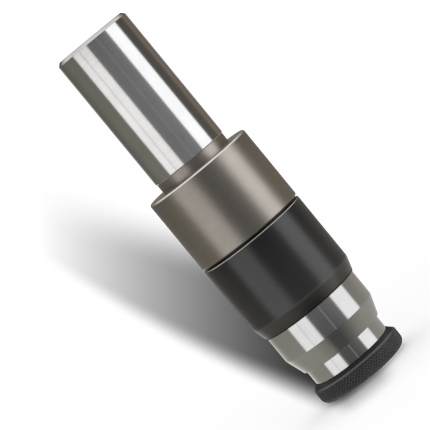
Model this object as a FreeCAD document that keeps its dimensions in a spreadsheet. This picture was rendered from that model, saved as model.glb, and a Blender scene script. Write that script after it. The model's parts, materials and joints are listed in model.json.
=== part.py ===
import FreeCAD, Part
import os
import Sketcher
from FreeCAD import Vector

# Quick-change tapping chuck with a torque-clutch tap adapter, standing on its nose.
# The axis is Z: the adapter's nose face lies at z = 0 and the straight shank points up.
# Lengths are in millimetres. Diameters are named dia, and levels are heights above z = 0.

os.makedirs("parts", exist_ok=True)
doc = FreeCAD.newDocument("tapping_chuck")

# Driving sizes, one cell of the sheet each
driving_sizes = {
    # Clearances
    "seat_gap": 0.02,
    "running_gap": 0.03,
    "thread_gap": 0.05,
    "ball_gap": 0.03,
    "free_gap": 0.2,
    # Shank and collar
    "shank_dia": 25.4,
    "shank_length": 46.6,
    "shank_chamfer": 1.0,
    "relief_depth": 0.3,
    "relief_length": 3.4,
    "collar_dia": 36.0,
    "collar_length": 25.0,
    "collar_front_chamfer": 0.6,
    "collar_rear_chamfer": 0.3,
    "guide_bore_dia": 24.0,
    "web_thickness": 6.0,
    "spring_bore_dia": 16.0,
    # Plug in the shank's open end
    "plug_length": 6.5,
    "plug_setback": 1.5,
    "plug_slot_width": 2.0,
    "plug_slot_depth": 2.2,
    # Spindle
    "hub_step": 1.6,
    "nose_chamfer": 0.4,
    "flange_inset": 1.0,
    "flange_thickness": 0.78,
    "land_length": 9.0,
    "tail_length": 12.5,
    "tail_chamfer": 0.4,
    "tail_clearance": 0.5,
    "stem_dia": 10.0,
    "drive_slot_width": 5.0,
    "drive_slot_depth": 3.0,
    # Float: spring, washer, bolt, balls and cage
    "float_wire_play": 0.4,
    "float_wire_height": 2.0,
    "float_washer_thickness": 2.0,
    "bolt_dia": 6.0,
    "bolt_reach": 13.0,
    "bolt_head_dia": 10.0,
    "bolt_head_height": 6.0,
    "bolt_hex_width": 5.0,
    "bolt_hex_depth": 3.0,
    "bolt_clearance": 5.0,
    "drive_ball_dia": 4.0,
    "ball_row_gap": 0.2,
    "cage_length": 9.0,
    "cage_wall": 1.6,
    # Locking sleeve, as wide as the collar
    "sleeve_cover": 0.8,
    "sleeve_wall": 1.5,
    "sleeve_lip_wall": 0.2,
    "sleeve_lip_top_wall": 0.6,
    "sleeve_lip_length": 1.35,
    "sleeve_taper_length": 3.1,
    "sleeve_rear_chamfer": 0.3,
    "sleeve_rear_wall": 2.95,
    "sleeve_rear_land": 2.87,
    "sleeve_land_setback": 4.5,
    "release_slope": 0.25,
    "lock_ball_setback": 18.0,
    "lock_ball_rise": 0.1,
    "lock_depth": 1.0,
    "sleeve_wire_dia": 1.1,
    "clip_setback": 3.5,
    "clip_thickness": 1.0,
    "clip_groove_depth": 0.5,
    "clip_width": 1.5,
    "spring_washer_thickness": 0.8,
    # Adapter housing
    "housing_length": 15.88,
    "housing_lip_wall": 0.45,
    "housing_lip_length": 0.6,
    "housing_front_wall": 0.95,
    "housing_cone_length": 5.55,
    "housing_rear_chamfer": 0.3,
    "adapter_shank_dia": 19.0,
    "adapter_shank_wall": 2.7,
    "adapter_shank_run": 3.08,
    "adapter_shank_chamfer": 0.4,
    "clutch_wall_thickness": 2.5,
    # Torque clutch
    "clutch_ball_dia": 4.0,
    "clutch_ball_inset": 0.3,
    "detent_depth": 0.95,
    "detent_hole_depth": 1.2,
    "socket_flange_thickness": 2.5,
    "plate_thickness": 2.0,
    "disc_thickness": 0.7,
    "disc_rise": 0.34,
    "disc_clearance": 0.55,
    # Setting nut, which is the bright neck behind the ring
    "neck_entry": 0.8,
    "neck_reach": 4.6,
    "neck_chamfer": 0.4,
    "neck_wall": 1.2,
    "neck_cavity_depth": 5.3,
    # Tap socket
    "tap_shank_dia": 8.0,
    "tap_gap": 0.025,
    "tap_bore_depth": 33.0,
    "tap_square_width": 6.3,
    "tap_square_depth": 9.0,
    "knockout_dia": 5.0,
    "socket_wall": 4.175,
    "socket_nose_chamfer": 0.4,
    "socket_tail_rise": 2.0,
    # Grip balls
    "grip_ball_level": 4.5,
    "grip_ball_standoff": 0.045,
    "grip_ball_rise": 0.47,
    "grip_lip_dia": 3.5,
    "grip_lip_thickness": 0.35,
    # Release ring
    "ring_dia": 30.8,
    "ring_front_level": 0.5,
    "ring_length": 7.5,
    "ring_front_chamfer": 1.0,
    "ring_wall": 1.8,
    "ring_rear_wall": 0.4,
    "ring_rear_taper": 1.8,
    "ring_floor_thickness": 3.0,
    "ring_boss_wall": 1.95,
    "ring_recess_clearance": 0.8,
    "grip_slope": 0.16666667,
    "release_wire_dia": 1.2,
    "release_clip_thickness": 0.9,
    "release_clip_width": 1.9,
    "release_clip_groove": 0.6,
    # Washer and clip on the socket's tail
    "tail_washer_inset": 0.2,
    "tail_washer_thickness": 0.5,
    "tail_clip_thickness": 0.8,
    "tail_clip_groove": 0.5,
    "tail_clip_width": 1.7,
}

sheet = doc.addObject("Spreadsheet::Sheet", "Sizes")
for row, (alias, amount) in enumerate(driving_sizes.items(), start=1):
    sheet.set(f"A{row}", alias)
    sheet.set(f"B{row}", str(amount))
    sheet.setAlias(f"B{row}", alias)
doc.recompute()


class Size:
    """A length kept as an expression of the sheet, so that whatever uses it follows the sheet."""

    def __init__(self, text):
        self.text = str(text)

    def __str__(self):
        return self.text

    def __add__(self, other):
        return Size(f"({self} + {other})")

    def __sub__(self, other):
        return Size(f"({self} - {other})")

    def __mul__(self, other):
        return Size(f"({self} * {other})")

    def __truediv__(self, other):
        return Size(f"({self} / {other})")

    def now(self):
        return float(sheet.evalExpression(self.text))


def size(alias):
    return Size(f"Sizes.{alias}")


def radius(alias):
    return size(alias) / 2


zero = Size("0")
sub_parts = []
cuts = []
full_turn = 360


# Helpers that bind sketches and features to the sheet

def new_body(label):
    body = doc.addObject("PartDesign::Body", label)
    body.Label = label
    sub_parts.append(body)
    return body


def origin_of(body, role):
    return next(item for item in body.Origin.OriginFeatures if item.Role == role)


def new_sketch(body, name, plane, lift):
    sketch = body.newObject("Sketcher::SketchObject", name)
    sketch.AttachmentSupport = (origin_of(body, plane), [""])
    sketch.MapMode = "FlatFace"
    sketch.setExpression(".AttachmentOffset.Base.z", str(lift))
    return sketch


def pin_point(sketch, edge, end, across, up):
    for kind, axis, amount in (("DistanceX", -2, across), ("DistanceY", -1, up)):
        if amount.text == zero.text:
            sketch.addConstraint(Sketcher.Constraint("PointOnObject", edge, end, axis))
            continue
        index = sketch.addConstraint(Sketcher.Constraint(kind, -1, 1, edge, end, amount.now()))
        sketch.setExpression(f"Constraints[{index}]", amount.text)


def draw_outline(sketch, corners):
    points = [Vector(across.now(), up.now(), 0) for across, up in corners]
    count = len(points)
    first = sketch.GeometryCount
    for index in range(count):
        sketch.addGeometry(Part.LineSegment(points[index], points[(index + 1) % count]), False)
    for index in range(count):
        following = first + (index + 1) % count
        sketch.addConstraint(Sketcher.Constraint("Coincident", first + index, 2, following, 1))
    for index, (across, up) in enumerate(corners):
        pin_point(sketch, first + index, 1, across, up)


def draw_circle(sketch, across, up, round_radius):
    centre = Vector(across.now(), up.now(), 0)
    circle = sketch.addGeometry(Part.Circle(centre, Vector(0, 0, 1), round_radius.now()), False)
    pin_point(sketch, circle, 3, across, up)
    index = sketch.addConstraint(Sketcher.Constraint("Radius", circle, round_radius.now()))
    sketch.setExpression(f"Constraints[{index}]", round_radius.text)


def rectangle(low_across, high_across, low_up, high_up):
    return [(low_across, low_up), (high_across, low_up), (high_across, high_up), (low_across, high_up)]


def turn(body, name, outlines, angle=full_turn):
    """Revolve closed outlines of (radius, level) corners about the tool's axis."""
    sketch = new_sketch(body, name + "_profile", "XZ_Plane", zero)
    for corners in outlines:
        draw_outline(sketch, corners)
    feature = body.newObject("PartDesign::Revolution", name)
    feature.Profile = sketch
    feature.ReferenceAxis = (sketch, ["V_Axis"])
    feature.Angle = angle
    return feature


def turned_part(label, *outlines, angle=full_turn):
    body = new_body(label)
    turn(body, label + "_turned", outlines, angle)
    return body


def cut_outward(body, name, plane, start, length, draw):
    """Pocket that starts at a distance from an origin plane and runs away from it."""
    sketch = new_sketch(body, name + "_sketch", plane, start)
    draw(sketch)
    pocket = body.newObject("PartDesign::Pocket", name)
    pocket.Profile = sketch
    pocket.Reversed = True
    pocket.setExpression("Length", str(length))
    cuts.append(pocket)
    return pocket


def round_the_axis(body, feature, count):
    pattern = body.newObject("PartDesign::PolarPattern", feature.Name + "_pattern")
    pattern.Originals = [feature]
    pattern.Axis = (origin_of(body, "Z_Axis"), [""])
    pattern.Angle = full_turn
    pattern.Occurrences = count
    body.Tip = pattern
    return pattern


def coil(label, mean_radius, low, high, turns, wire_height, draw):
    """Helical spring between two seats, its section drawn beside the axis."""
    body = new_body(label)
    sketch = new_sketch(body, label + "_section", "XZ_Plane", zero)
    draw(sketch, mean_radius, low + wire_height / 2)
    helix = body.newObject("PartDesign::AdditiveHelix", label + "_helix")
    helix.Profile = sketch
    helix.ReferenceAxis = (sketch, ["V_Axis"])
    helix.Mode = "height-turns-angle"
    helix.setExpression("Height", str(high - low - wire_height))
    helix.Turns = turns
    return body


def ball(label, ball_radius, ring_radius, angle, level):
    sphere = doc.addObject("Part::Sphere", label)
    sphere.Label = label
    sphere.setExpression("Radius", str(ball_radius))
    sphere.setExpression(".Placement.Base.x", str(ring_radius * f"cos({angle})"))
    sphere.setExpression(".Placement.Base.y", str(ring_radius * f"sin({angle})"))
    sphere.setExpression(".Placement.Base.z", str(level))
    return sphere


def ball_group(label, balls):
    group = doc.addObject("Part::Compound", label)
    group.Label = label
    group.Links = balls
    sub_parts.append(group)
    return group


seat_gap = size("seat_gap")
running_gap = size("running_gap")
thread_gap = size("thread_gap")
ball_gap = size("ball_gap")
free_gap = size("free_gap")

# Radii from the outside in: the sleeve is as wide as the collar, and the adapter fits inside it
sleeve_radius = radius("collar_dia")
chamber_radius = sleeve_radius - size("sleeve_wall")
housing_radius = chamber_radius - free_gap
sleeve_bore_radius = sleeve_radius - size("sleeve_rear_wall")
hub_radius = sleeve_bore_radius - thread_gap
nose_radius = hub_radius - size("hub_step")
sleeve_land_radius = nose_radius + thread_gap
adapter_shank_radius = radius("adapter_shank_dia")
ring_radius = radius("ring_dia")
channel_radius = ring_radius - size("ring_wall")
neck_radius = channel_radius - free_gap
housing_bore = neck_radius + thread_gap

# Levels of the release ring, the neck and the adapter, from the nose up
ring_front = size("ring_front_level")
ring_back = ring_front + size("ring_length")
housing_front = ring_back + size("neck_reach")
housing_back = housing_front + size("housing_length")
clutch_face = housing_back - size("clutch_wall_thickness")
adapter_seat = housing_back + seat_gap

# Locking balls, which reach from inside the adapter's groove to just outside the spindle's nose
lock_ball_level = adapter_seat + size("lock_ball_setback")
lock_ball_outside = nose_radius + size("lock_ball_rise")
lock_ball_radius = (lock_ball_outside - adapter_shank_radius + size("lock_depth")) / 2
lock_ball_circle = lock_ball_outside - lock_ball_radius
adapter_shank_end = lock_ball_level + size("adapter_shank_run")
socket_end = adapter_shank_end + size("socket_tail_rise")

# The sleeve's inner cone: its radius at the balls' level leaves a small gap square to its slope
slope_stretch = Size("sqrt(1 + Sizes.release_slope * Sizes.release_slope)")
cone_at_ball = lock_ball_circle + (lock_ball_radius + seat_gap) * slope_stretch
cone_low = lock_ball_level + (sleeve_land_radius - cone_at_ball) / size("release_slope")
cone_high = lock_ball_level + (sleeve_bore_radius - cone_at_ball) / size("release_slope")
sleeve_rear = cone_high + size("sleeve_rear_land")

# Levels of the spindle and the holder
flange_front = sleeve_rear + seat_gap
flange_back = flange_front + size("flange_thickness")
collar_front = flange_back + seat_gap
land_back = flange_back + size("land_length")
tail_end = land_back + size("tail_length")
guide_floor = tail_end + size("tail_clearance")
collar_rear = collar_front + size("collar_length")
shank_front = collar_rear + size("relief_length")
shank_end = shank_front + size("shank_length")
spring_floor = guide_floor + size("web_thickness")
plug_top = shank_end - size("plug_setback")
plug_low = plug_top - size("plug_length")
bolt_head_top = plug_low - size("bolt_clearance")
bolt_head_seat = bolt_head_top - size("bolt_head_height")
washer_top = bolt_head_seat - seat_gap
washer_seat = washer_top - size("float_washer_thickness")

# Shank and collar, one turned piece with the float bore in front and the spring bore behind
shank_body = turned_part(
    "shank_body",
    [
        (radius("guide_bore_dia"), collar_front),
        (radius("collar_dia") - size("collar_front_chamfer"), collar_front),
        (radius("collar_dia"), collar_front + size("collar_front_chamfer")),
        (radius("collar_dia"), collar_rear - size("collar_rear_chamfer")),
        (radius("collar_dia") - size("collar_rear_chamfer"), collar_rear),
        (radius("shank_dia") - size("relief_depth"), collar_rear),
        (radius("shank_dia") - size("relief_depth"), shank_front),
        (radius("shank_dia"), shank_front),
        (radius("shank_dia"), shank_end - size("shank_chamfer")),
        (radius("shank_dia") - size("shank_chamfer"), shank_end),
        (radius("spring_bore_dia"), shank_end),
        (radius("spring_bore_dia"), spring_floor),
        (radius("stem_dia") + running_gap, spring_floor),
        (radius("stem_dia") + running_gap, guide_floor),
        (radius("guide_bore_dia"), guide_floor),
    ],
)

# Three axial grooves for the driving balls, half in the bore and half in the spindle's tail
drive_groove_count = 3
tail_radius = radius("guide_bore_dia") - size("cage_wall") - free_gap * 2
drive_ball_circle = (radius("guide_bore_dia") + tail_radius) / 2
drive_groove_radius = radius("drive_ball_dia") + ball_gap


def draw_drive_groove(sketch):
    draw_circle(sketch, drive_ball_circle, zero, drive_groove_radius)


bore_groove = cut_outward(
    shank_body, "bore_groove", "XY_Plane", collar_front, guide_floor - collar_front, draw_drive_groove
)
round_the_axis(shank_body, bore_groove, drive_groove_count)

# Slotted plug that closes the spring bore
rear_plug = turned_part(
    "rear_plug",
    rectangle(zero, radius("spring_bore_dia") - thread_gap, plug_low, plug_top),
)


def draw_plug_slot(sketch):
    half_width = size("plug_slot_width") / 2
    reach = radius("spring_bore_dia")
    draw_outline(sketch, rectangle(zero - reach, reach, zero - half_width, half_width))


cut_outward(
    rear_plug,
    "plug_slot",
    "XY_Plane",
    plug_top - size("plug_slot_depth"),
    size("plug_slot_depth"),
    draw_plug_slot,
)

# Spindle: quick-change nose, hub, flange, guide land, grooved tail and long stem
socket_radius = adapter_shank_radius + running_gap
socket_floor = socket_end + free_gap * 2
hub_front = cone_high + free_gap
clip_front = adapter_seat + size("clip_setback")
clip_back = clip_front + size("clip_thickness")
clip_groove_radius = nose_radius - size("clip_groove_depth")
flange_radius = sleeve_radius - size("flange_inset")
land_radius = radius("guide_bore_dia") - running_gap
stem_end = washer_seat - seat_gap
bolt_radius = radius("bolt_dia")
thread_depth = size("bolt_reach") + free_gap

spindle = turned_part(
    "spindle",
    [
        (socket_radius, adapter_seat),
        (nose_radius - size("nose_chamfer"), adapter_seat),
        (nose_radius, adapter_seat + size("nose_chamfer")),
        (nose_radius, clip_front - seat_gap),
        (clip_groove_radius, clip_front - seat_gap),
        (clip_groove_radius, clip_back + seat_gap),
        (nose_radius, clip_back + seat_gap),
        (nose_radius, hub_front),
        (hub_radius, hub_front),
        (hub_radius, flange_front),
        (flange_radius, flange_front),
        (flange_radius, flange_back),
        (land_radius, flange_back),
        (land_radius, land_back),
        (tail_radius, land_back),
        (tail_radius, tail_end - size("tail_chamfer")),
        (tail_radius - size("tail_chamfer"), tail_end),
        (radius("stem_dia"), tail_end),
        (radius("stem_dia"), stem_end),
        (bolt_radius + thread_gap, stem_end),
        (bolt_radius + thread_gap, stem_end - thread_depth),
        (zero, stem_end - thread_depth),
        (zero, socket_floor),
        (socket_radius, socket_floor),
    ],
)

tail_groove = cut_outward(
    spindle, "tail_groove", "XY_Plane", land_back, size("tail_length"), draw_drive_groove
)
round_the_axis(spindle, tail_groove, drive_groove_count)


def draw_drive_slot(sketch):
    half_width = size("drive_slot_width") / 2
    draw_outline(sketch, rectangle(zero - nose_radius, nose_radius, zero - half_width, half_width))


cut_outward(spindle, "drive_slot", "XY_Plane", adapter_seat, size("drive_slot_depth"), draw_drive_slot)

# Three radial holes that carry the locking balls
lock_ball_count = 3


def draw_lock_hole(sketch):
    draw_circle(sketch, zero, lock_ball_level, lock_ball_radius + ball_gap)


lock_hole = cut_outward(spindle, "lock_hole", "YZ_Plane", zero, nose_radius, draw_lock_hole)
round_the_axis(spindle, lock_hole, lock_ball_count)

for index in range(lock_ball_count):
    angle = index * full_turn / lock_ball_count
    sub_parts.append(
        ball(f"lock_ball_{index + 1}", lock_ball_radius, lock_ball_circle, angle, lock_ball_level)
    )


# Float spring of flat wire round the stem, its washer and its cap screw
float_spring_room = radius("spring_bore_dia") - radius("stem_dia")


def draw_flat_wire(sketch, across, up):
    half_width = float_spring_room / 2 - size("float_wire_play")
    half_height = size("float_wire_height") / 2
    outline = rectangle(across - half_width, across + half_width, up - half_height, up + half_height)
    draw_outline(sketch, outline)


float_spring_turns = 6
coil(
    "float_spring",
    radius("stem_dia") + float_spring_room / 2,
    spring_floor + seat_gap,
    washer_seat - seat_gap,
    float_spring_turns,
    size("float_wire_height"),
    draw_flat_wire,
)

turned_part(
    "float_washer",
    rectangle(
        bolt_radius + free_gap, radius("spring_bore_dia") - free_gap, washer_seat, washer_top
    ),
)

float_bolt = turned_part(
    "float_bolt",
    [
        (zero, bolt_head_seat - size("float_washer_thickness") - size("bolt_reach")),
        (bolt_radius, bolt_head_seat - size("float_washer_thickness") - size("bolt_reach")),
        (bolt_radius, bolt_head_seat),
        (radius("bolt_head_dia"), bolt_head_seat),
        (radius("bolt_head_dia"), bolt_head_top),
        (zero, bolt_head_top),
    ],
)


def draw_hexagon(sketch):
    """Hexagon of the given width across its flats, two of them across Y."""
    half_width = size("bolt_hex_width") / 2
    side = half_width * "tan(30)"
    corner = side * 2
    corners = [
        (corner, zero),
        (side, half_width),
        (zero - side, half_width),
        (zero - corner, zero),
        (zero - side, zero - half_width),
        (side, zero - half_width),
    ]
    draw_outline(sketch, corners)


cut_outward(
    float_bolt,
    "bolt_hex",
    "XY_Plane",
    bolt_head_top - size("bolt_hex_depth"),
    size("bolt_hex_depth"),
    draw_hexagon,
)

# Driving balls in two rows, and the brass cage that spaces them
cage_low = land_back + free_gap
cage_high = cage_low + size("cage_length")
cage_inner = tail_radius + free_gap
cage_outer = radius("guide_bore_dia") - free_gap
ball_row_middle = (cage_low + cage_high) / 2
half_row_pitch = radius("drive_ball_dia") + size("ball_row_gap") / 2
ball_rows = [ball_row_middle - half_row_pitch, ball_row_middle + half_row_pitch]
ball_cage = turned_part("ball_cage", rectangle(cage_inner, cage_outer, cage_low, cage_high))


def draw_cage_holes(sketch):
    for level in ball_rows:
        draw_circle(sketch, zero, level, radius("drive_ball_dia") + ball_gap)


cage_hole = cut_outward(ball_cage, "cage_hole", "YZ_Plane", zero, cage_outer, draw_cage_holes)
round_the_axis(ball_cage, cage_hole, drive_groove_count)

drive_balls = []
for row, level in enumerate(ball_rows, start=1):
    for index in range(drive_groove_count):
        angle = index * full_turn / drive_groove_count
        name = f"drive_ball_{row}_{index + 1}"
        drive_balls.append(ball(name, radius("drive_ball_dia"), drive_ball_circle, angle, level))
ball_group("drive_balls", drive_balls)

# Locking sleeve. Its inner cone holds the balls in, and lets them out as it slides forward.
sleeve_front = housing_back - size("sleeve_cover")
chamber_top = lock_ball_level - size("sleeve_land_setback")
lip_top = sleeve_front + size("sleeve_lip_length")

locking_sleeve = turned_part(
    "locking_sleeve",
    [
        (chamber_radius, sleeve_front),
        (chamber_radius + size("sleeve_lip_wall"), sleeve_front),
        (chamber_radius + size("sleeve_lip_top_wall"), lip_top),
        (sleeve_radius, lip_top + size("sleeve_taper_length")),
        (sleeve_radius, sleeve_rear - size("sleeve_rear_chamfer")),
        (sleeve_radius - size("sleeve_rear_chamfer"), sleeve_rear),
        (sleeve_bore_radius, sleeve_rear),
        (sleeve_bore_radius, cone_high),
        (sleeve_land_radius, cone_low),
        (sleeve_land_radius, chamber_top),
        (chamber_radius, chamber_top),
    ],
)

# Clip, washer and spring inside the sleeve's chamber
clip_opening = 40
turned_part(
    "sleeve_snap_ring",
    rectangle(
        clip_groove_radius + seat_gap,
        clip_groove_radius + size("clip_width"),
        clip_front,
        clip_back,
    ),
    angle=full_turn - clip_opening,
)
spring_washer_top = clip_back + seat_gap + size("spring_washer_thickness")
turned_part(
    "sleeve_spring_washer",
    rectangle(
        nose_radius + thread_gap,
        chamber_radius - free_gap,
        clip_back + seat_gap,
        spring_washer_top,
    ),
)


def round_wire(alias):
    def draw(sketch, across, up):
        draw_circle(sketch, across, up, radius(alias))

    return draw


sleeve_spring_turns = 4
coil(
    "sleeve_spring",
    (nose_radius + chamber_radius) / 2,
    spring_washer_top + seat_gap,
    chamber_top - seat_gap,
    sleeve_spring_turns,
    size("sleeve_wire_dia"),
    round_wire("sleeve_wire_dia"),
)

# Adapter housing: cone and bright cylinder in front, clutch wall, and the shank that locks in
cone_front = housing_front + size("housing_lip_length")
tail_bore = adapter_shank_radius - size("adapter_shank_wall")

adapter_housing = turned_part(
    "adapter_housing",
    [
        (housing_bore, housing_front),
        (housing_bore + size("housing_lip_wall"), housing_front),
        (housing_bore + size("housing_front_wall"), cone_front),
        (housing_radius, cone_front + size("housing_cone_length")),
        (housing_radius, housing_back - size("housing_rear_chamfer")),
        (housing_radius - size("housing_rear_chamfer"), housing_back),
        (adapter_shank_radius, housing_back),
        (adapter_shank_radius, adapter_shank_end - size("adapter_shank_chamfer")),
        (adapter_shank_radius - size("adapter_shank_chamfer"), adapter_shank_end),
        (tail_bore, adapter_shank_end),
        (tail_bore, clutch_face),
        (housing_bore, clutch_face),
    ],
)

# Round groove for the locking balls
groove_sketch = new_sketch(adapter_housing, "ball_groove_sketch", "XZ_Plane", zero)
draw_circle(groove_sketch, lock_ball_circle, lock_ball_level, lock_ball_radius + ball_gap)
ball_groove = adapter_housing.newObject("PartDesign::Groove", "ball_groove")
ball_groove.Profile = groove_sketch
ball_groove.ReferenceAxis = (groove_sketch, ["V_Axis"])
ball_groove.Angle = full_turn
cuts.append(ball_groove)

# Twelve detent holes in the clutch wall
detent_count = 12
tap_bore_radius = radius("tap_shank_dia") + size("tap_gap")
socket_nose = tap_bore_radius + size("socket_wall")
clutch_ball_radius = radius("clutch_ball_dia")
clutch_ball_circle = socket_nose + clutch_ball_radius + size("clutch_ball_inset")
clutch_ball_level = clutch_face + size("detent_depth") - clutch_ball_radius
detent_height = clutch_ball_radius - size("detent_depth")
detent_reach = clutch_ball_radius * clutch_ball_radius - detent_height * detent_height
detent_radius = Size(f"sqrt({detent_reach})") + ball_gap


def draw_detent(sketch):
    draw_circle(sketch, clutch_ball_circle, zero, detent_radius)


detent = cut_outward(
    adapter_housing, "detent", "XY_Plane", clutch_face, size("detent_hole_depth"), draw_detent
)
round_the_axis(adapter_housing, detent, detent_count)

# Two driving lugs that stand in the spindle's slot
lug_count = 2
lug_sketch = new_sketch(adapter_housing, "lug_sketch", "XY_Plane", housing_back)
half_lug = size("drive_slot_width") / 2 - thread_gap
draw_outline(
    lug_sketch,
    rectangle(
        adapter_shank_radius - free_gap,
        nose_radius - size("nose_chamfer"),
        zero - half_lug,
        half_lug,
    ),
)
lug = adapter_housing.newObject("PartDesign::Pad", "lug")
lug.Profile = lug_sketch
lug.setExpression("Length", str(size("drive_slot_depth") - free_gap))
round_the_axis(adapter_housing, lug, lug_count)

# Tap socket: nose with the tap's bore, clutch flange, and a long tail through the housing
socket_tail = tail_bore - running_gap
socket_flange_radius = housing_bore - free_gap
flange_top = clutch_face - thread_gap
flange_low = flange_top - size("socket_flange_thickness")
release_clip_front = ring_front
release_clip_back = release_clip_front + size("release_clip_thickness")
release_clip_root = socket_nose - size("release_clip_groove")
tail_washer_low = adapter_shank_end + seat_gap
tail_washer_high = tail_washer_low + size("tail_washer_thickness")
tail_clip_low = tail_washer_high + seat_gap
tail_clip_high = tail_clip_low + size("tail_clip_thickness")
tail_clip_root = socket_tail - size("tail_clip_groove")

tap_socket = turned_part(
    "tap_socket",
    [
        (tap_bore_radius + size("socket_nose_chamfer"), zero),
        (socket_nose - size("socket_nose_chamfer"), zero),
        (socket_nose, size("socket_nose_chamfer")),
        (socket_nose, release_clip_front - seat_gap),
        (release_clip_root, release_clip_front - seat_gap),
        (release_clip_root, release_clip_back + seat_gap),
        (socket_nose, release_clip_back + seat_gap),
        (socket_nose, flange_low),
        (socket_flange_radius, flange_low),
        (socket_flange_radius, flange_top),
        (socket_tail, flange_top),
        (socket_tail, tail_clip_low - seat_gap),
        (tail_clip_root, tail_clip_low - seat_gap),
        (tail_clip_root, tail_clip_high + seat_gap),
        (socket_tail, tail_clip_high + seat_gap),
        (socket_tail, socket_end),
        (radius("knockout_dia"), socket_end),
        (radius("knockout_dia"), size("tap_bore_depth")),
        (tap_bore_radius, size("tap_bore_depth")),
        (tap_bore_radius, size("socket_nose_chamfer")),
    ],
)


def draw_tap_square(sketch):
    half_width = size("tap_square_width") / 2
    draw_outline(sketch, rectangle(zero - half_width, half_width, zero - half_width, half_width))


cut_outward(
    tap_socket, "tap_square", "XY_Plane", size("tap_bore_depth"), size("tap_square_depth"), draw_tap_square
)

# Six holes in the flange that carry the clutch balls
clutch_ball_count = 6


def draw_clutch_hole(sketch):
    draw_circle(sketch, clutch_ball_circle, zero, clutch_ball_radius + ball_gap)


clutch_hole = cut_outward(
    tap_socket, "clutch_hole", "XY_Plane", flange_low, size("socket_flange_thickness"), draw_clutch_hole
)
round_the_axis(tap_socket, clutch_hole, clutch_ball_count)

# Three stepped holes in the nose: the small step keeps each grip ball from falling into the bore
grip_ball_count = 3
grip_ball_level = size("grip_ball_level")
grip_ball_inside = tap_bore_radius + size("grip_ball_standoff")
grip_ball_radius = (socket_nose + size("grip_ball_rise") - grip_ball_inside) / 2
grip_ball_circle = grip_ball_inside + grip_ball_radius
grip_seat = tap_bore_radius + size("grip_lip_thickness")


def draw_grip_lip(sketch):
    draw_circle(sketch, zero, grip_ball_level, radius("grip_lip_dia"))


def draw_grip_hole(sketch):
    draw_circle(sketch, zero, grip_ball_level, grip_ball_radius + ball_gap)


grip_lip = cut_outward(tap_socket, "grip_lip", "YZ_Plane", zero, socket_nose, draw_grip_lip)
round_the_axis(tap_socket, grip_lip, grip_ball_count)
grip_hole = cut_outward(tap_socket, "grip_hole", "YZ_Plane", grip_seat, socket_nose, draw_grip_hole)
round_the_axis(tap_socket, grip_hole, grip_ball_count)

for index in range(grip_ball_count):
    angle = index * full_turn / grip_ball_count
    sub_parts.append(
        ball(f"grip_ball_{index + 1}", grip_ball_radius, grip_ball_circle, angle, grip_ball_level)
    )

# Clutch balls, pressure plate and the stack of disc springs that loads them
clutch_balls = []
for index in range(clutch_ball_count):
    angle = index * full_turn / clutch_ball_count
    name = f"clutch_ball_{index + 1}"
    clutch_balls.append(ball(name, clutch_ball_radius, clutch_ball_circle, angle, clutch_ball_level))
ball_group("clutch_balls", clutch_balls)

plate_top = clutch_ball_level - clutch_ball_radius - seat_gap
plate_low = plate_top - size("plate_thickness")
turned_part(
    "pressure_plate",
    rectangle(socket_nose + free_gap, housing_bore - free_gap, plate_low, plate_top),
)

disc_count = 4
disc_pitch = size("disc_thickness") + size("disc_rise") + seat_gap
neck_back = plate_low - seat_gap - disc_pitch * disc_count
disc_inner = socket_nose + free_gap
disc_outer = housing_bore - size("disc_clearance")


def disc_outline(index):
    """Section of one coned disc: even ones stand on their inner edge, odd ones on their outer edge."""
    low = neck_back + seat_gap + disc_pitch * index
    rise = size("disc_rise") if index % 2 == 0 else zero - size("disc_rise")
    foot = low if index % 2 == 0 else low - rise
    thickness = size("disc_thickness")
    return [
        (disc_inner, foot),
        (disc_outer, foot + rise),
        (disc_outer, foot + rise + thickness),
        (disc_inner, foot + thickness),
    ]


turned_part("disc_springs", *[disc_outline(index) for index in range(disc_count)])

# Setting nut: its outside is the bright neck, and its front cavity holds the release spring
neck_front = ring_back - size("neck_entry")
neck_floor = neck_front + size("neck_cavity_depth")
cavity_radius = neck_radius - size("neck_wall")
turned_part(
    "setting_nut",
    [
        (cavity_radius, neck_front),
        (neck_radius - size("neck_chamfer"), neck_front),
        (neck_radius, neck_front + size("neck_chamfer")),
        (neck_radius, neck_back),
        (socket_nose + free_gap, neck_back),
        (socket_nose + free_gap, neck_floor),
        (cavity_radius, neck_floor),
    ],
)

# Washer and clip that hold the tap socket in the housing
turned_part(
    "tail_washer",
    rectangle(
        socket_tail + thread_gap,
        adapter_shank_radius - size("tail_washer_inset"),
        tail_washer_low,
        tail_washer_high,
    ),
)
turned_part(
    "tail_snap_ring",
    rectangle(
        tail_clip_root + seat_gap,
        tail_clip_root + size("tail_clip_width"),
        tail_clip_low,
        tail_clip_high,
    ),
    angle=full_turn - clip_opening,
)

# Release ring. Its inner cone presses the grip balls in, and frees them as it slides back.
ring_floor = ring_front + size("ring_floor_thickness")
ring_recess = release_clip_back + seat_gap
ring_guide = socket_nose + thread_gap
ring_boss = ring_guide + size("ring_boss_wall")
release_clip_outside = release_clip_root + size("release_clip_width")
recess_radius = release_clip_outside + size("ring_recess_clearance")
grip_stretch = Size("sqrt(1 + Sizes.grip_slope * Sizes.grip_slope)")
ramp_at_ball = grip_ball_circle + (grip_ball_radius + seat_gap) * grip_stretch
ramp_front = ramp_at_ball + (grip_ball_level - ring_recess) * size("grip_slope")
ramp_back_level = grip_ball_level + (ramp_at_ball - ring_guide) / size("grip_slope")

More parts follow.
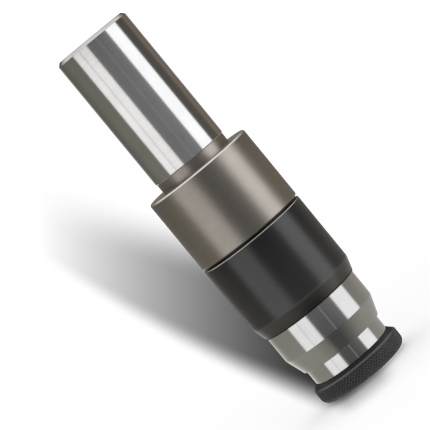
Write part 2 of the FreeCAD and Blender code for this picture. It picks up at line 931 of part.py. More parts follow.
release_ring = turned_part(
    "release_ring",
    [
        (recess_radius, ring_front),
        (ring_radius - size("ring_front_chamfer"), ring_front),
        (ring_radius, ring_front + size("ring_front_chamfer")),
        (ring_radius, ring_back - size("ring_rear_taper")),
        (channel_radius + size("ring_rear_wall"), ring_back),
        (channel_radius, ring_back),
        (channel_radius, ring_floor),
        (ring_boss, ring_floor),
        (ring_boss, ring_back),
        (ring_guide, ring_back),
        (ring_guide, ramp_back_level),
        (ramp_front, ring_recess),
        (recess_radius, ring_recess),
    ],
)
turned_part(
    "release_snap_ring",
    rectangle(
        release_clip_root + seat_gap, release_clip_outside, release_clip_front, release_clip_back
    ),
    angle=full_turn - clip_opening,
)

release_spring_turns = 4
coil(
    "release_spring",
    (ring_boss + cavity_radius) / 2,
    ring_floor + seat_gap,
    neck_floor - seat_gap,
    release_spring_turns,
    size("release_wire_dia"),
    round_wire("release_wire_dia"),
)

doc.recompute()

# Nothing is written until every object has recomputed, every cut has cut, and every shape is sound
for item in doc.Objects:
    if "Invalid" in item.State or "Error" in item.State:
        raise RuntimeError(f"{item.Label} did not recompute: {item.State}")
for cut in cuts:
    removed = cut.BaseFeature.Shape.Volume - cut.Shape.Volume
    if removed <= 0:
        raise RuntimeError(f"{cut.Label} cut nothing")
for item in sub_parts:
    if item.Shape.isNull() or not item.Shape.isValid():
        raise RuntimeError(f"{item.Label} has no sound shape")

for item in sub_parts:
    item.Shape.exportStep(f"parts/{item.Label}.step")
    print(f"{item.Label}: {len(item.Shape.Solids)} solid(s), {item.Shape.Volume:.1f} mm3")
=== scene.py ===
import json
import math

import bmesh
import bpy
import numpy as np
from mathutils import Matrix, Vector


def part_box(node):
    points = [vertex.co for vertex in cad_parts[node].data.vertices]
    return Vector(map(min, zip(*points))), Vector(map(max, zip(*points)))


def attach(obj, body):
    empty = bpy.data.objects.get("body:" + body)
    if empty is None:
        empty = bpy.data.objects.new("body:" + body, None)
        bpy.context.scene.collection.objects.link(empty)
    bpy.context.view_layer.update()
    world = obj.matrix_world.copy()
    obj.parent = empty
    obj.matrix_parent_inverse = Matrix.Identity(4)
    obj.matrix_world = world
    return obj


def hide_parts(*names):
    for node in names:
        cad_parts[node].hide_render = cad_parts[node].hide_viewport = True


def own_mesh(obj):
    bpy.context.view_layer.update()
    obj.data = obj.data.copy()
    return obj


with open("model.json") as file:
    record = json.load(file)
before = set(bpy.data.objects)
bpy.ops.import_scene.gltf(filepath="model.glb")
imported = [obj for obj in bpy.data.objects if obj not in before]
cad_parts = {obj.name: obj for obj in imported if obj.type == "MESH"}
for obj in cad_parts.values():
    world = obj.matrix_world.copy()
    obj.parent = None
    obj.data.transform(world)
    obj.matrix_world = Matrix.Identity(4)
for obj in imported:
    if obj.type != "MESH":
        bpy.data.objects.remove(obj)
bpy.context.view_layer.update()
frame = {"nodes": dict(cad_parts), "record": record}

print("frame loaded:", len(frame["nodes"]), "nodes")

# A quick-change tapping chuck that stands on its nose. Every turned piece shares the Z axis.
# The pieces' sizes and the camera's are millimetres. The tent, floor and lamps are in metres.
millimetre = 0.001
pickSlack = 0.05  # faces and points are picked by their place, give or take this much

# Columns round the axis, points in each rounded corner, the least change of radius that counts
# as shaping, and the least length that a direction is divided by
turning = {"columns": 256, "cornerPoints": 5, "leastChange": 1e-6, "leastLength": 1e-12}


def nodeSpan(node):
    # Outer radius, lowest level and highest level of a CAD node, in millimetres.
    low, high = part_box(node)
    return max(high.x, -low.x, high.y, -low.y) / millimetre, low.z / millimetre, high.z / millimetre


def mountNamed(name):
    return next(mount for mount in frame["record"]["mounts"] if mount["name"] == name)


def outlineOf(corners, cornerPoints=turning["cornerPoints"]):
    # A closed outline in the plane of radius and level, walked with the solid on its left.
    # Each corner (radius, level, rounding) becomes an arc that touches both of its straight
    # neighbours. Returns the points and the outward direction at each of them.
    corners = np.array(corners, float)
    points, rounding = corners[:, :2], corners[:, 2:3]
    onward = np.roll(points, -1, axis=0) - points
    onward /= np.linalg.norm(onward, axis=1, keepdims=True)
    inward = np.roll(onward, 1, axis=0)
    cross = inward[:, 0] * onward[:, 1] - inward[:, 1] * onward[:, 0]
    turn = np.arctan2(cross, (inward * onward).sum(1))[:, None]
    side = np.sign(turn)
    left = np.stack([-inward[:, 1], inward[:, 0]], axis=1)
    start = points - inward * rounding * np.abs(np.tan(turn / 2))
    centre = start + left * rounding * side
    heading = np.arctan2(inward[:, 1], inward[:, 0])[:, None] + turn * np.linspace(0, 1, cornerPoints)
    outward = np.stack([np.sin(heading), -np.cos(heading)], axis=2)
    placed = centre[:, None, :] + outward * (rounding * side)[:, None, :]
    return placed.reshape(-1, 2), outward.reshape(-1, 2)


def sideways(rows):
    # Outward direction along an outer wall that is walked upwards: across each step, to the right
    step = np.gradient(rows, axis=0)
    across = np.stack([step[:, 1], -step[:, 0]], axis=1)
    return across / np.linalg.norm(across, axis=1, keepdims=True)


def layRows(points, outward, after, rows, directions):
    # Puts rows of a wall and their directions into an outline, after the given number of its points.
    return np.insert(points, after, rows, axis=0), np.insert(outward, after, directions, axis=0)


def smoothShare(share):
    # 0 to 1 with level ends: three times the square less twice the cube
    share = np.clip(share, 0, 1)
    return share * share * (3 - 2 * share)


def turnedPiece(name, points, outward, columns=turning["columns"], shape=None):
    # A surface of revolution: point (angle, step) = (radius cos angle, radius sin angle, level),
    # closed both round the axis and along the outline. shape gives a radius for each
    # (angle, radius, level), and where it differs the direction is worked out from the surface.
    angle = np.linspace(0, 2 * math.pi, columns, endpoint=False)[:, None]
    radius = np.tile(points[:, 0], (columns, 1))
    level = np.tile(points[:, 1], (columns, 1))
    shaped = radius if shape is None else shape(angle, radius, level)
    cosine, sine = np.cos(angle), np.sin(angle)
    place = np.stack([shaped * cosine, shaped * sine, level], axis=2)
    upwards = np.tile(outward[:, 1], (columns, 1))
    direction = np.stack([outward[:, 0] * cosine, outward[:, 0] * sine, upwards], axis=2)
    if shape is not None:
        aroundAxis = np.roll(place, -1, axis=0) - np.roll(place, 1, axis=0)
        along = np.roll(place, -1, axis=1) - np.roll(place, 1, axis=1)
        worked = np.cross(aroundAxis, along)
        worked /= np.maximum(np.linalg.norm(worked, axis=2, keepdims=True), turning["leastLength"])
        changed = np.abs(shaped - radius) > turning["leastChange"]
        near = changed | np.roll(changed, 1, axis=1) | np.roll(changed, -1, axis=1)
        direction = np.where(near[:, :, None], worked, direction)

    rows = points.shape[0]
    corner = np.arange(columns * rows).reshape(columns, rows)
    nextColumn = np.roll(corner, -1, axis=0)
    faces = np.stack(
        [corner, nextColumn, np.roll(nextColumn, -1, axis=1), np.roll(corner, -1, axis=1)], axis=2
    ).reshape(-1, 4)
    mesh = bpy.data.meshes.new(name)
    mesh.from_pydata((place * millimetre).reshape(-1, 3).tolist(), [], faces.tolist())
    mesh.polygons.foreach_set("use_smooth", np.ones(len(mesh.polygons), bool))
    mesh.update()
    mesh.normals_split_custom_set_from_vertices(direction.reshape(-1, 3).tolist())
    piece = bpy.data.objects.new(name, mesh)
    bpy.context.scene.collection.objects.link(piece)
    return piece


def keepWearAndHighlight(piece, amount):
    # One value for each vertex: 0 where the finish is whole, 1 at full wear and at full painted highlight
    wearAndHighlight = piece.data.attributes.new("wearAndHighlight", "FLOAT", "POINT")
    wearAndHighlight.data.foreach_set("value", np.ravel(amount))


def stand(piece, node, body):
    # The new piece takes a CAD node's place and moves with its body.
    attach(piece, body)
    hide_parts(node)


# Shank and collar
shankSizes = {
    "reliefDepth": 0.3,
    "reliefLength": 3.4,
    "stepLength": 0.3,
    "collarLength": 25.0,
    "collarFrontChamfer": 0.35,
    "collarRearChamfer": 0.45,
    "shankChamfer": 1.0,
    "guideBore": 12.0,
    "guideDepth": 22.0,
    "webThickness": 6.0,
    "stemBore": 5.03,
    "springBore": 8.0,
    "grooveCount": 3,
    "grooveCircle": 10.9,
    "grooveRadius": 2.03,
    "edge": 0.08,
    "softEdge": 0.18,
}


def grooveReach(angle, sizes):
    # Distance from the axis to the far side of the nearest groove, a circle beside the axis.
    pitch = 2 * math.pi / sizes["grooveCount"]
    off = (angle + pitch / 2) % pitch - pitch / 2
    beside = sizes["grooveCircle"] * np.sin(off)
    reach = sizes["grooveRadius"] ** 2 - beside**2
    return np.where(reach > 0, sizes["grooveCircle"] * np.cos(off) + np.sqrt(np.maximum(reach, 0)), 0)


def makeShank():
    s = shankSizes
    collarRadius, collarFront, top = nodeSpan("shank_body")
    shankRadius = mountNamed("shank")["dims"]["r_mm"]
    collarRear = collarFront + s["collarLength"]
    shankFront = collarRear + s["reliefLength"]
    guideFloor = collarFront + s["guideDepth"]
    springFloor = guideFloor + s["webThickness"]
    edge, softEdge = s["edge"], s["softEdge"]
    corners = [
        (s["guideBore"], collarFront, edge),
        (collarRadius - s["collarFrontChamfer"], collarFront, softEdge),
        (collarRadius, collarFront + s["collarFrontChamfer"], softEdge),
        (collarRadius, collarRear - s["collarRearChamfer"], edge),
        (collarRadius - s["collarRearChamfer"], collarRear, edge),
        (shankRadius - s["reliefDepth"], collarRear, softEdge),
        (shankRadius - s["reliefDepth"], shankFront, edge),
        (shankRadius, shankFront + s["stepLength"], edge),
        (shankRadius, top - s["shankChamfer"], edge),
        (shankRadius - s["shankChamfer"], top, edge),
        (s["springBore"], top, softEdge),
        (s["springBore"], springFloor, edge),
        (s["stemBore"], springFloor, edge),
        (s["stemBore"], guideFloor, edge),
        (s["guideBore"], guideFloor, edge),
    ]
    points, outward = outlineOf(corners)

    def guideGrooves(angle, radius, level):
        inBore = (np.abs(radius - s["guideBore"]) < 2 * edge) & (level < guideFloor + edge)
        return np.where(inBore, np.maximum(radius, grooveReach(angle, s)), radius)

    piece = turnedPiece("shankAndCollar", points, outward, shape=guideGrooves)
    stand(piece, "shank_body", "holder")
    return piece, collarRear


# Locking sleeve
sleeveSizes = {
    "chamber": 16.5,
    "lipWall": 0.2,
    "lipTopWall": 0.6,
    "lipLength": 1.35,
    "darkEdge": 0.45,
    "lighterFade": 1.4,
    "taperLength": 3.1,
    "taperRounding": 3.0,
    "rearChamfer": 0.22,
    "rearBore": 15.05,
    "rearLand": 2.87,
    "coneSlope": 0.25,
    "innerLand": 13.45,
    "chamberLength": 14.32,
    "edge": 0.06,
    "softEdge": 0.25,
}


def makeSleeve():
    s = sleeveSizes
    radius, front, rear = nodeSpan("locking_sleeve")
    lipTop = front + s["lipLength"]
    taperTop = lipTop + s["taperLength"]
    coneTop = rear - s["rearLand"]
    coneLow = coneTop - (s["rearBore"] - s["innerLand"]) / s["coneSlope"]
    chamberTop = front + s["chamberLength"]
    edge, softEdge = s["edge"], s["softEdge"]
    corners = [
        (s["chamber"], front, edge),
        (s["chamber"] + s["lipWall"], front, edge),
        (s["chamber"] + s["lipTopWall"], lipTop, softEdge),
        (radius, taperTop, s["taperRounding"]),
        (radius, rear - s["rearChamfer"], edge),
        (radius - s["rearChamfer"], rear, edge),
        (s["rearBore"], rear, edge),
        (s["rearBore"], coneTop, edge),
        (s["innerLand"], coneLow, edge),
        (s["innerLand"], chamberTop, edge),
        (s["chamber"], chamberTop, edge),
    ]
    points, outward = outlineOf(corners)
    # One more row on the lip, where the painted shade on its front edge ends; two corners come before it
    share = s["darkEdge"] / s["lipLength"]
    edgeRadius = s["chamber"] + s["lipWall"] + share * (s["lipTopWall"] - s["lipWall"])
    slope = np.array([s["lipLength"], s["lipWall"] - s["lipTopWall"]])
    slope /= np.linalg.norm(slope)
    darkRow = [edgeRadius, front + s["darkEdge"]]
    points, outward = layRows(points, outward, 2 * turning["cornerPoints"], darkRow, slope)
    piece = turnedPiece("lockingSleeve", points, outward)
    # The taper is lighter and metal-like, and this fades out just above it
    lighterTaper = smoothShare((taperTop + s["lighterFade"] / 2 - points[:, 1]) / s["lighterFade"])
    onOutside = points[:, 0] > s["chamber"] + pickSlack
    keepWearAndHighlight(piece, np.tile(lighterTaper * onOutside, (turning["columns"], 1)))
    stand(piece, "locking_sleeve", "sleeve")
    return piece


# Adapter housing: cone, bright cylinder and the shank that locks into the chuck
housingSizes = {
    "bore": 13.45,
    "frontWall": 0.76,
    "coneLength": 6.15,
    "bodyLength": 15.88,
    "rearChamfer": 0.3,
    "shankRadius": 9.5,
    "shankChamfer": 0.4,
    "tailBore": 6.8,
    "clutchWall": 2.5,
    "grooveLevel": 46.5,
    "grooveCircle": 11.0,
    "grooveRadius": 2.53,
    "groovePoints": 9,
    "grooveEdge": 0.015,
    "frontEdge": 0.16,
    "edge": 0.06,
    "softEdge": 0.3,
}


def makeHousing():
    s = housingSizes
    radius, front, rear = nodeSpan("adapter_housing")
    back = front + s["bodyLength"]
    clutchFace = back - s["clutchWall"]
    edge, softEdge = s["edge"], s["softEdge"]
    half = math.acos((s["grooveCircle"] - s["shankRadius"]) / s["grooveRadius"])
    groove = [
        (
            s["grooveCircle"] - s["grooveRadius"] * math.cos(turn),
            s["grooveLevel"] + s["grooveRadius"] * math.sin(turn),
            s["grooveEdge"],
        )
        for turn in np.linspace(-half, half, s["groovePoints"])
    ]
    corners = [
        (s["bore"], front, edge),
        (s["bore"] + s["frontWall"], front, s["frontEdge"]),
        (radius, front + s["coneLength"], softEdge),
        (radius, back - s["rearChamfer"], edge),
        (radius - s["rearChamfer"], back, edge),
        (s["shankRadius"], back, edge),
        *groove,
        (s["shankRadius"], rear - s["shankChamfer"], edge),
        (s["shankRadius"] - s["shankChamfer"], rear, edge),
        (s["tailBore"], rear, edge),
        (s["tailBore"], clutchFace, edge),
        (s["bore"], clutchFace, edge),
    ]
    points, outward = outlineOf(corners)
    piece = turnedPiece("adapterHousing", points, outward)
    stand(piece, "adapter_housing", "float_head")
    return piece


# Setting nut, which is the bright neck behind the ring
neckSizes = {
    "chamfer": 0.4,
    "wall": 1.2,
    "cavityDepth": 5.3,
    "bore": 8.4,
    "edge": 0.08,
}


def makeNeck():
    s = neckSizes
    radius, front, back = nodeSpan("setting_nut")
    edge = s["edge"]
    corners = [
        (radius - s["wall"], front, edge),
        (radius - s["chamfer"], front, edge),
        (radius, front + s["chamfer"], edge),
        (radius, back, edge),
        (s["bore"], back, edge),
        (s["bore"], front + s["cavityDepth"], edge),
        (radius - s["wall"], front + s["cavityDepth"], edge),
    ]
    points, outward = outlineOf(corners)
    piece = turnedPiece("settingNeck", points, outward)
    stand(piece, "setting_nut", "float_head")
    return piece


# Release ring with its diamond knurl, which runs down over the rounded front edge
ringSizes = {
    "cornerPoints": 4,
    "recess": 10.3,
    "recessDepth": 0.92,
    "frontLift": 0.4,
    "frontReach": 2.2,
    "frontRise": 2.3,
    "frontSamples": 60,
    "bandTop": 5.45,
    "rearTop": 7.05,
    "rearWall": 0.12,
    "wall": 1.8,
    "floorThickness": 3.0,
    "guide": 8.25,
    "bossWall": 1.95,
    "rampFront": 9.235,
    "rampBack": 7.33,
    "edge": 0.05,
    "bandEdge": 0.14,
    "knurlStop": 0.21,
    "shadeShare": 0.34,
    "teeth": 84,
    "samplesPerTooth": 10,
    "crossings": 5,
    "rowsPerCrossing": 8,
    "tipShare": 0.62,
    "knurlDepth": 0.36,
    "knurlFade": 0.5,
    "tipWear": 0.5,
    "tipPower": 3,
    "rimOffset": 0.12,
    "rimWidth": 0.16,
    "rimDepth": 0.5,
    "channelSlack": 0.01,
}


def frontRounding(radius, front, top, s, count):
    # The outer wall from the front face to the knurl's top, as equal steps along a quarter
    # ellipse and a straight wall: radius - reach + reach sin turn, front + rise - rise cos turn.
    turn = np.linspace(0, math.pi / 2, s["frontSamples"])
    curveRadius = radius - s["frontReach"] * (1 - np.sin(turn))
    curveLevel = front + s["frontRise"] * (1 - np.cos(turn))
    fine = np.stack([np.append(curveRadius, radius), np.append(curveLevel, top)], axis=1)
    travelled = np.append(0, np.cumsum(np.linalg.norm(np.diff(fine, axis=0), axis=1)))
    steps = np.linspace(0, travelled[-1], count)
    return np.stack([np.interp(steps, travelled, fine[:, column]) for column in (0, 1)], axis=1)


def diamondHeight(angle, along, s):
    # Height of the diamond points from 0 in the grooves to 1 at the tips: the lower of two
    # triangle waves that wind round the ring in opposite directions. along runs from 0 to 1.
    across = angle * s["teeth"] / (2 * math.pi)
    waves = [1 - np.abs(2 * ((across + sign * along * s["crossings"]) % 1) - 1) for sign in (1, -1)]
    return np.minimum(np.minimum(*waves) / s["tipShare"], 1)


def makeRing():
    s = ringSizes
    radius, front, back = nodeSpan("release_ring")
    channel = radius - s["wall"]
    floor = front + s["floorThickness"]
    boss = s["guide"] + s["bossWall"]
    edge = s["edge"]
    bandTop = front + s["bandTop"]
    bandLow = front + s["frontLift"]
    rear = front + s["rearTop"]
    corners = [
        (s["recess"], front, edge),
        (radius - s["frontReach"], bandLow, edge),
        (radius, bandTop, s["bandEdge"]),
        (channel + s["rearWall"], rear, edge),
        (channel, rear, edge),
        (channel, floor, edge),
        (boss, floor, edge),
        (boss, back, edge),
        (s["guide"], back, edge),
        (s["guide"], s["rampBack"], edge),
        (s["rampFront"], front + s["recessDepth"], edge),
        (s["recess"], front + s["recessDepth"], edge),
    ]
    # A row on the rear taper, after three corners, where its painted shade starts, and then the
    # knurl's rows, after two corners
    cornerPoints = s["cornerPoints"]
    points, outward = outlineOf(corners, cornerPoints)
    taper = np.array([[radius, bandTop], [channel + s["rearWall"], rear]])
    shadeStart = taper[0] + s["shadeShare"] * (taper[1] - taper[0])
    points, outward = layRows(points, outward, 3 * cornerPoints, shadeStart, sideways(taper)[0])
    knurlTop = bandTop - s["knurlStop"]
    rowCount = s["crossings"] * s["rowsPerCrossing"]
    rows = frontRounding(radius, bandLow, knurlTop, s, rowCount + 1)[1:]
    points, outward = layRows(points, outward, 2 * cornerPoints, rows, sideways(rows))

    def diamonds(angle, around, level):
        # Height from 0 to 1 on the knurled band and 0 off it, and whether a point is on it
        share = np.interp(level, rows[:, 1], np.linspace(0, 1, rowCount))
        onBand = (level > bandLow + pickSlack) & (level < knurlTop + turning["leastChange"])
        onBand &= around > channel + s["channelSlack"]
        return np.where(onBand, diamondHeight(angle, share, s), 0), onBand

    def knurl(angle, around, level):
        height, onBand = diamonds(angle, around, level)
        fade = np.clip((level - bandLow) / s["knurlFade"], 0, 1)
        return np.where(onBand, around - (1 - height) * s["knurlDepth"] * fade, around)

    columns = s["teeth"] * s["samplesPerTooth"]
    piece = turnedPiece("knurledRing", points, outward, columns=columns, shape=knurl)
    angle = np.linspace(0, 2 * math.pi, columns, endpoint=False)[:, None]
    level = np.tile(points[:, 1], (columns, 1))
    tips, _ = diamonds(angle, np.tile(points[:, 0], (columns, 1)), level)
    # Worn at the knurl's tips, and a painted highlight along the rim between the knurl and the taper
    rimHighlight = np.exp(-(((level - bandTop - s["rimOffset"]) / s["rimWidth"]) ** 2))
    rimHighlight *= points[:, 0] > channel + s["rimDepth"]
    keepWearAndHighlight(piece, np.clip(s["tipWear"] * tips ** s["tipPower"] + rimHighlight, 0, 1))
    stand(piece, "release_ring", "ring")
    return piece, shadeStart[1]


# Springs, hidden inside. Each one is pressed together against its fixed end by its joint's travel.
springSizes = {
    "release_spring": {
        "name": "releaseSpring",
        "body": "socket",
        "joint": "release_ring_slide",
        "fixedEnd": "top",
    },
    "sleeve_spring": {
        "name": "sleeveSpring",
        "body": "float_head",
        "joint": "sleeve_slide",
        "fixedEnd": "bottom",
    },
    "float_spring": {
        "name": "floatSpring",
        "body": "holder",
        "joint": "float",
        "fixedEnd": "bottom",
    },
    "disc_springs": {
        "name": "discSprings",
        "body": "socket",
        "joint": "clutch_lift",
        "fixedEnd": "bottom",
    },
}
# Points within this many metres become one, and edges of at least this many degrees stay sharp
springMesh = {"mergeWithin": 1e-6, "sharpFrom": 35}


def makeSpring(node, s):
    # The CAD spring's own shape, as one joined surface with smooth wire.
    mesh = frame["nodes"][node].data.copy()
    joined = bmesh.new()
    joined.from_mesh(mesh)
    bmesh.ops.remove_doubles(joined, verts=joined.verts, dist=springMesh["mergeWithin"])
    joined.to_mesh(mesh)
    joined.free()
    # Without the CAD's own normals, which belong to the loose triangles
    if "custom_normal" in mesh.attributes:
        mesh.attributes.remove(mesh.attributes["custom_normal"])
    mesh.polygons.foreach_set("use_smooth", np.ones(len(mesh.polygons), bool))
    mesh.set_sharp_from_angle(angle=math.radians(springMesh["sharpFrom"]))
    piece = bpy.data.objects.new(s["name"], mesh)
    bpy.context.scene.collection.objects.link(piece)
    stand(piece, node, s["body"])

    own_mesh(piece)
    return piece


shank, collarRearLevel = makeShank()
sleeve = makeSleeve()
housing = makeHousing()
neck = makeNeck()
ring, shadeLevel = makeRing()
print("turned pieces made")
springs = [makeSpring(node, s) for node, s in springSizes.items()]
print("springs made:", len(springs))


# Materials. Tool marks run round the axis, so their pattern is fine along the outline and slow
# round it: its third coordinate is the level plus the distance from the axis.
finishes = {
    "groundSteel": {"colour": (0.62, 0.616, 0.61), "roughness": 0.13, "marks": 5200, "depth": 0.04},
    "satinSteel": {"colour": (0.43, 0.39, 0.346), "roughness": 0.345, "marks": 5200, "depth": 0.03},
    # chamferHighlight is a painted highlight: a lighter metal on the upward chamfers, where light catches
    # them
    "chamferHighlight": {"colour": (0.8, 0.78, 0.74), "roughness": 0.3, "marks": 5200, "depth": 0.02},
    "brightSteel": {"colour": (0.66, 0.655, 0.65), "roughness": 0.09, "marks": 6500, "depth": 0.015},
    "turnedSteel": {"colour": (0.5, 0.495, 0.48), "roughness": 0.26, "marks": 2600, "depth": 0.12},
    # gapShadeSteel is painted shade: near-black, for the spindle, which shows only in the gap between
    # collar and sleeve
    "gapShadeSteel": {"colour": (0.03, 0.03, 0.03), "roughness": 0.4, "marks": 2600, "depth": 0.1},
    "springSteel": {"colour": (0.3, 0.3, 0.31), "roughness": 0.33, "marks": 1500, "depth": 0.05},
    "screwSteel": {"colour": (0.14, 0.14, 0.15), "roughness": 0.38, "marks": 2200, "depth": 0.08},
    "ballSteel": {"colour": (0.75, 0.75, 0.75), "roughness": 0.05, "marks": 900, "depth": 0.0},
    "brass": {"colour": (0.72, 0.53, 0.25), "roughness": 0.22, "marks": 2600, "depth": 0.1},
}
oxides = {
    "blackOxide": {
        "colour": (0.0035, 0.0035, 0.005),
        "wornAndHighlightColour": (0.135, 0.132, 0.126),
        "roughness": 0.28,
        "ior": 1.7,
    },
    # shadedOxide is painted shade: darker and less glossy, for the ring's rear taper under the neck and the
    # sleeve lip's front edge
    "shadedOxide": {"colour": (0.004, 0.004, 0.005), "wornAndHighlightColour": None, "roughness": 0.42, "ior": 1.4},
    "blackKnurl": {
        "colour": (0.007, 0.007, 0.008),
        "wornAndHighlightColour": (0.12, 0.12, 0.126),
        "roughness": 0.32,
        "ior": 1.9,
    },
}
# What the finishes of one kind share: the marks, the clouding and how far they sway the roughness
metalLook = {
    "slow": 60,
    "markDetail": 3.0,
    "cloudScale": 130.0,
    "cloudDetail": 4.0,
    "cloudStops": (0.3, 0.62),
    "cloudShade": 0.94,
    "markRange": (0.3, 0.7),
    "sway": (0.92, 1.09),
    "bumpDistance": 0.0002,
}
oxideLook = {
    "slow": 60,
    "marks": 3000,
    "markDetail": 3.0,
    "cloudScale": 200.0,
    "cloudDetail": 5.0,
    "cloudStops": (0.3, 0.7),
    "cloudShade": 0.8,
    "markRange": (0.0, 1.0),
    "sway": (0.96, 1.05),
    "bump": 0.01,
    "bumpDistance": 0.0002,
}


class NodeBench:
    # Adds nodes to one tree and sets or joins their inputs, by name or by number from 0.
    def __init__(self, tree):
        self.nodes, self.links = tree.nodes, tree.links
        self.nodes.clear()

    def add(self, kind, inputs=None, **settings):
        node = self.nodes.new(kind)
        for key, value in settings.items():
            setattr(node, key, value)
        for key, value in (inputs or {}).items():
            self.plug(node, key, value)
        return node

    def plug(self, node, key, value):
        socket = node.inputs[key]
        if isinstance(value, bpy.types.NodeSocket):
            self.links.new(value, socket)
        else:
            socket.default_value = value

    def calc(self, operation, *values, clamp=False):
        inputs = dict(enumerate(values))
        return self.add("ShaderNodeMath", inputs, operation=operation, use_clamp=clamp).outputs[0]

    def dot(self, vector, fixed):
        node = self.add("ShaderNodeVectorMath", {0: vector, 1: fixed}, operation="DOT_PRODUCT")
        return node.outputs["Value"]

    def blend(self, factor, first, second):
        # A colour mix has its two colours at inputs 6 and 7 and its result at output 2.
        inputs = {"Factor": factor, 6: first, 7: second}
        return self.add("ShaderNodeMix", inputs, data_type="RGBA").outputs[2]

    def ramp(self, factor, stops):
        # Stops are (position, colour). A new ramp has two elements of its own.
        node = self.add("ShaderNodeValToRGB", {"Fac": factor})
        elements = node.color_ramp.elements
        while len(elements) < len(stops):
            elements.new(0.5)
        for element, (position, colour) in zip(elements, stops):
            element.position = position
            element.color = (*colour, 1)
        return node.outputs["Color"]

    def noise(self, place, scale, detail):
        inputs = {"Vector": place, "Scale": scale, "Detail": detail}
        return self.add("ShaderNodeTexNoise", inputs).outputs["Fac"]


def newMaterial(name):
    material = bpy.data.materials.new(name)
    material.use_nodes = True
    return material, NodeBench(material.node_tree)


def turnedCoordinates(bench, markScale, slow):
    # x and y slowly, level plus distance from the axis finely
    place = bench.add("ShaderNodeTexCoord").outputs["Object"]
    split = bench.add("ShaderNodeSeparateXYZ", {0: place}).outputs
    x, y, z = split["X"], split["Y"], split["Z"]
    away = bench.calc("SQRT", bench.calc("ADD", bench.calc("MULTIPLY", x, x), bench.calc("MULTIPLY", y, y)))
    fine = bench.calc("MULTIPLY", bench.calc("ADD", z, away), markScale)
    slowX = bench.calc("MULTIPLY", x, slow)
    slowY = bench.calc("MULTIPLY", y, slow)
    return place, bench.add("ShaderNodeCombineXYZ", {0: slowX, 1: slowY, 2: fine}).outputs[0]


def markedSurface(bench, look, markScale, colour, roughness):
    # The parts that every finish has: its marks, its clouded colour and its swaying roughness
    place, marksAt = turnedCoordinates(bench, markScale, look["slow"])
    marks = bench.noise(marksAt, 1.0, look["markDetail"])
    cloud = bench.noise(place, look["cloudScale"], look["cloudDetail"])
    shaded = tuple(look["cloudShade"] * part for part in colour)
    tone = bench.ramp(cloud, list(zip(look["cloudStops"], (shaded, colour))))
    spread = {
        "Value": marks,
        "From Min": look["markRange"][0],
        "From Max": look["markRange"][1],
        "To Min": roughness * look["sway"][0],
        "To Max": roughness * look["sway"][1],
    }
    return marks, tone, bench.add("ShaderNodeMapRange", spread).outputs[0]


def finishShader(bench, inputs, marks, look, bumpStrength):
    shader = bench.add("ShaderNodeBsdfPrincipled", inputs)
    if bumpStrength:
        relief = {"Height": marks, "Strength": bumpStrength, "Distance": look["bumpDistance"]}
        bench.plug(shader, "Normal", bench.add("ShaderNodeBump", relief).outputs[0])
    bench.add("ShaderNodeOutputMaterial", {"Surface": shader.outputs[0]})


def turnedMetal(name, spec):
    material, bench = newMaterial(name)
    marks, tone, rough = markedSurface(bench, metalLook, spec["marks"], spec["colour"], spec["roughness"])
    inputs = {"Base Color": tone, "Metallic": 1.0, "Roughness": rough}
    finishShader(bench, inputs, marks, metalLook, spec["depth"])
    return material


def darkFinish(name, spec):
    # Black oxide: dark, with a sheen like thin glaze over steel. Where a lighter colour is given, the
    # piece's own value for wear and painted highlight leads from the dark colour to metal of that colour.
    material, bench = newMaterial(name)
    look = oxideLook
    marks, tone, rough = markedSurface(bench, look, look["marks"], spec["colour"], spec["roughness"])
    inputs = {"Base Color": tone, "Roughness": rough, "IOR": spec["ior"]}
    if spec["wornAndHighlightColour"]:
        wearAndHighlight = bench.add("ShaderNodeAttribute", attribute_name="wearAndHighlight").outputs["Fac"]
        inputs["Base Color"] = bench.blend(wearAndHighlight, tone, (*spec["wornAndHighlightColour"], 1))
        inputs["Metallic"] = wearAndHighlight
    finishShader(bench, inputs, marks, look, look["bump"])
    return material


materials = {name: turnedMetal(name, spec) for name, spec in finishes.items()}
materials.update({name: darkFinish(name, spec) for name, spec in oxides.items()})

slotMaterials = {
    "ground_steel": "groundSteel",
    "bright_steel": "brightSteel",
    "turned_steel": "turnedSteel",
    "spring_steel": "springSteel",
    "screw_steel": "screwSteel",
    "ball_steel": "ballSteel",
    "brass": "brass",
    "black_oxide": "blackOxide",
    "black_knurl": "blackKnurl",
}


def paint(obj, *names):
    obj.data.materials.clear()
    for name in names:
        obj.data.materials.append(materials[name])


def finishBands(piece, bands):
    # Outer faces in each band (lowest level, highest level, least radius) take the next finish.
    centres = np.zeros(len(piece.data.polygons) * 3)
    piece.data.polygons.foreach_get("center", centres)
    centres = centres.reshape(-1, 3) / millimetre
    away, level = np.hypot(centres[:, 0], centres[:, 1]), centres[:, 2]
    index = np.zeros(len(level), np.int32)
    for number, (low, high, least) in enumerate(bands, 1):
        index[(level > low) & (level < high) & (away > least)] = number
    piece.data.polygons.foreach_set("material_index", index)


nodeSlots = {part["node"]: part["material_slot"] for part in frame["record"]["subparts"]}
for node, obj in frame["nodes"].items():
    paint(obj, slotMaterials[nodeSlots[node]])
# The spindle is near-black: painted shade in the gap where it shows
paint(frame["nodes"]["spindle"], "gapShadeSteel")
paint(housing, "brightSteel")
paint(neck, "brightSteel")
for spring in springs:
    paint(spring, "springSteel")

# Where one piece has several finishes. The satin stops just short of the ground shank, painted
# highlight lines cover the chamfers, and the sleeve's front edge and the ring's rear taper carry painted
# shade.
bandSizes = {
    "satinStop": 0.1,
    "rimBelow": 0.02,
    "rimAbove": 0.05,
    "lipBelow": 1,
    "highlightShare": (0.1, 0.9),
    "channelSlack": 0.02,
}
collarRadius = nodeSpan("shank_body")[0]
collarChamfer = shankSizes["collarRearChamfer"]
satinTop = collarRearLevel + shankSizes["reliefLength"] - bandSizes["satinStop"]
satinBand = (0, satinTop, shankSizes["guideBore"] + pickSlack)
rimLow = collarRearLevel - collarChamfer - bandSizes["rimBelow"]
rimBand = (rimLow, collarRearLevel + bandSizes["rimAbove"], collarRadius - 2 * collarChamfer)
paint(shank, "groundSteel", "satinSteel", "chamferHighlight")
finishBands(shank, [satinBand, rimBand])

